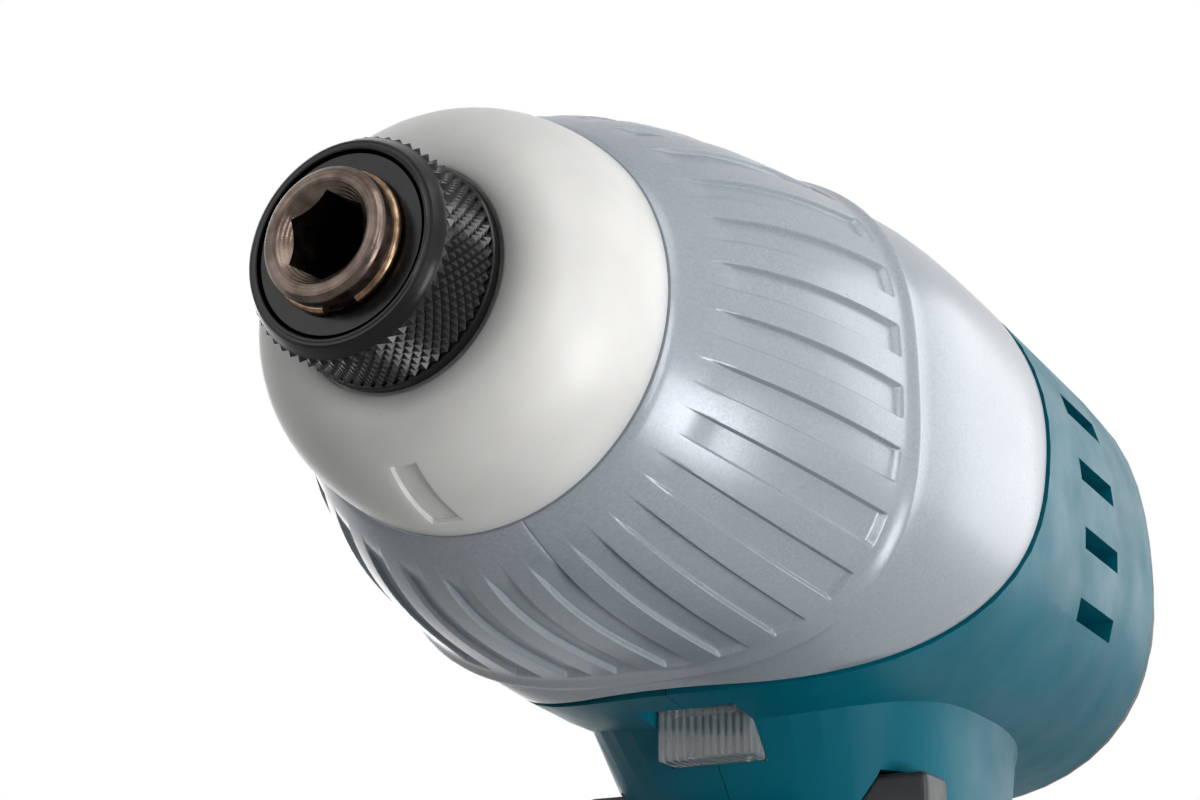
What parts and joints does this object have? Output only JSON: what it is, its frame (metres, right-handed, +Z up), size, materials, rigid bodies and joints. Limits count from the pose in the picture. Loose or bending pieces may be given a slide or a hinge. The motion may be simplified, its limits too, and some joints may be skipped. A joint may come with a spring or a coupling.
{
  "type": "impact driver",
  "caption": "Cordless impact driver: fluted silver nose cover, white bumper and spring-loaded hex bit sleeve on a teal pistol-grip body with a slide-on battery pack.",
  "frame": {"origin": "on the base plane under the grip, on the tool's middle plane", "axes": "+X out of the nose along the drive axis, +Y to the user's left, +Z up"},
  "size_m": [0.1508, 0.0842, 0.223],
  "materials": {
    "anvil_steel": "dull turned steel",
    "snap_wire": "bronzed spring wire",
    "black_oxide": "black oxide",
    "spring_steel": "spring steel",
    "gear_steel": "machined steel",
    "white_rubber": "milky translucent",
    "silver_plastic": "silver-grey pearl",
    "cast_alloy": "cast",
    "bush_bronze": "sintered bronze",
    "black_plastic": "matte",
    "motor_iron": "laminated",
    "copper_wire": "enamelled",
    "circuit_board": "solder mask",
    "teal_plastic": "fine satin",
    "grip_rubber": "matte",
    "lamp_clear": "clear",
    "contact_brass": "bright",
    "lead_red": "insulation",
    "hook_steel": "zinc plated",
    "latch_red": "satin",
    "button_grey": "satin",
    "cell_wrap": "shrink wrap",
    "holder_white": "matte"
  },
  "bodies": {
    "tool": {"nose_bumper": "white_rubber", "nose_cover": "silver_plastic", "hammer_case": "cast_alloy", "anvil_bush": "bush_bronze", "thrust_washer": "holder_white", "ring_gear": "gear_steel", "bearing_box": "black_plastic", "spindle_bearing": "spring_steel", "motor_bearings": "spring_steel", "stator_core": "motor_iron", "stator_coils": "copper_wire", "sensor_board": "circuit_board", "left_housing": "teal_plastic", "right_housing": "teal_plastic", "left_grip": "grip_rubber", "right_grip": "grip_rubber", "rear_cover": "black_plastic", "housing_screws": "black_oxide", "rear_screws": "black_oxide", "trigger_spring": "spring_steel", "switch_body": "black_plastic", "lamp_lens": "lamp_clear", "control_board": "circuit_board", "terminal_block": "black_plastic", "tool_contacts": "contact_brass", "leads": "lead_red", "button_panel": "black_plastic", "belt_hook": "hook_steel", "hook_screw": "black_oxide"},
    "spindle": {"spindle": "gear_steel", "planet_pins": "spring_steel", "cam_balls": "spring_steel", "spring_washer": "gear_steel", "hammer_spring": "spring_steel"},
    "rotor": {"motor_shaft": "gear_steel", "rotor_core": "motor_iron", "rotor_magnets": "motor_iron", "fan": "black_plastic"},
    "planet_1": {"planet_gear_1": "gear_steel"},
    "planet_2": {"planet_gear_2": "gear_steel"},
    "planet_3": {"planet_gear_3": "gear_steel"},
    "anvil": {"anvil": "anvil_steel", "snap_ring": "snap_wire", "sleeve_washer": "black_oxide", "detent_balls": "spring_steel", "sleeve_spring": "spring_steel"},
    "hammer": {"hammer": "gear_steel"},
    "sleeve": {"bit_sleeve": "black_oxide"},
    "trigger": {"trigger": "black_plastic"},
    "direction_lever": {"direction_lever": "black_plastic"},
    "battery": {"battery_lower": "black_plastic", "battery_upper": "black_plastic", "battery_cells": "cell_wrap", "cell_holder": "holder_white", "battery_screws": "black_oxide", "latch_spring": "spring_steel"},
    "latch": {"battery_latch": "latch_red"},
    "gauge_button": {"gauge_button": "button_grey"},
    "lamp_button": {"lamp_button": "button_grey"},
    "mode_button": {"mode_button": "button_grey"}
  },
  "joints": [
    {"name": "spindle_spin", "type": "hinge", "parent": "tool", "child": "spindle", "pos_m": [0, 0, 0.196], "axis": [1, 0, 0], "continuous": true},
    {"name": "rotor_spin", "type": "hinge", "parent": "tool", "child": "rotor", "pos_m": [0, 0, 0.196], "axis": [1, 0, 0], "continuous": true},
    {"name": "anvil_spin", "type": "hinge", "parent": "tool", "child": "anvil", "pos_m": [0, 0, 0.196], "axis": [1, 0, 0], "continuous": true},
    {"name": "planet_1_spin", "type": "hinge", "parent": "spindle", "child": "planet_1", "pos_m": [0.019, 0, 0.20613], "axis": [1, 0, 0], "continuous": true},
    {"name": "planet_2_spin", "type": "hinge", "parent": "spindle", "child": "planet_2", "pos_m": [0.019, 0.00877, 0.19094], "axis": [1, 0, 0], "continuous": true},
    {"name": "planet_3_spin", "type": "hinge", "parent": "spindle", "child": "planet_3", "pos_m": [0.019, -0.00877, 0.19094], "axis": [1, 0, 0], "continuous": true},
    {"name": "hammer_slide", "type": "slide", "parent": "spindle", "child": "hammer", "axis": [-1, 0, 0], "range_m": [0, 0.008], "stiffness_N_per_m": 3000, "springref_m": -0.004, "deforming": ["hammer_spring"]},
    {"name": "sleeve_slide", "type": "slide", "parent": "anvil", "child": "sleeve", "axis": [1, 0, 0], "range_m": [0, 0.0024], "stiffness_N_per_m": 1200, "springref_m": -0.001, "deforming": ["sleeve_spring"]},
    {"name": "trigger_slide", "type": "slide", "parent": "tool", "child": "trigger", "axis": [-1, 0, 0], "range_m": [0, 0.005], "stiffness_N_per_m": 900, "springref_m": -0.002, "deforming": ["trigger_spring"]},
    {"name": "direction_slide", "type": "slide", "parent": "tool", "child": "direction_lever", "axis": [0, 1, 0], "range_m": [-0.003, 0.003]},
    {"name": "battery_slide", "type": "slide", "parent": "tool", "child": "battery", "axis": [1, 0, 0], "range_m": [0, 0.085]},
    {"name": "latch_press", "type": "slide", "parent": "battery", "child": "latch", "axis": [0, 0, -1], "range_m": [0, 0.004], "stiffness_N_per_m": 900, "springref_m": -0.002, "deforming": ["latch_spring"]},
    {"name": "gauge_press", "type": "slide", "parent": "battery", "child": "gauge_button", "axis": [1, 0, 0], "range_m": [0, 0.0007], "stiffness_N_per_m": 1500, "springref_m": -0.0005},
    {"name": "lamp_press", "type": "slide", "parent": "tool", "child": "lamp_button", "axis": [-0.2761, 0, -0.9611], "range_m": [0, 0.0006], "stiffness_N_per_m": 1500, "springref_m": -0.0005},
    {"name": "mode_press", "type": "slide", "parent": "tool", "child": "mode_button", "axis": [-0.2761, 0, -0.9611], "range_m": [0, 0.0006], "stiffness_N_per_m": 1500, "springref_m": -0.0005}
  ],
  "couplings": [
    {"joint": "rotor_spin", "follows": "spindle_spin", "ratio": 4.5},
    {"joint": "anvil_spin", "follows": "spindle_spin", "ratio": 1},
    {"joint": "planet_1_spin", "follows": "spindle_spin", "ratio": -2.8},
    {"joint": "planet_2_spin", "follows": "spindle_spin", "ratio": -2.8},
    {"joint": "planet_3_spin", "follows": "spindle_spin", "ratio": -2.8}
  ]
}
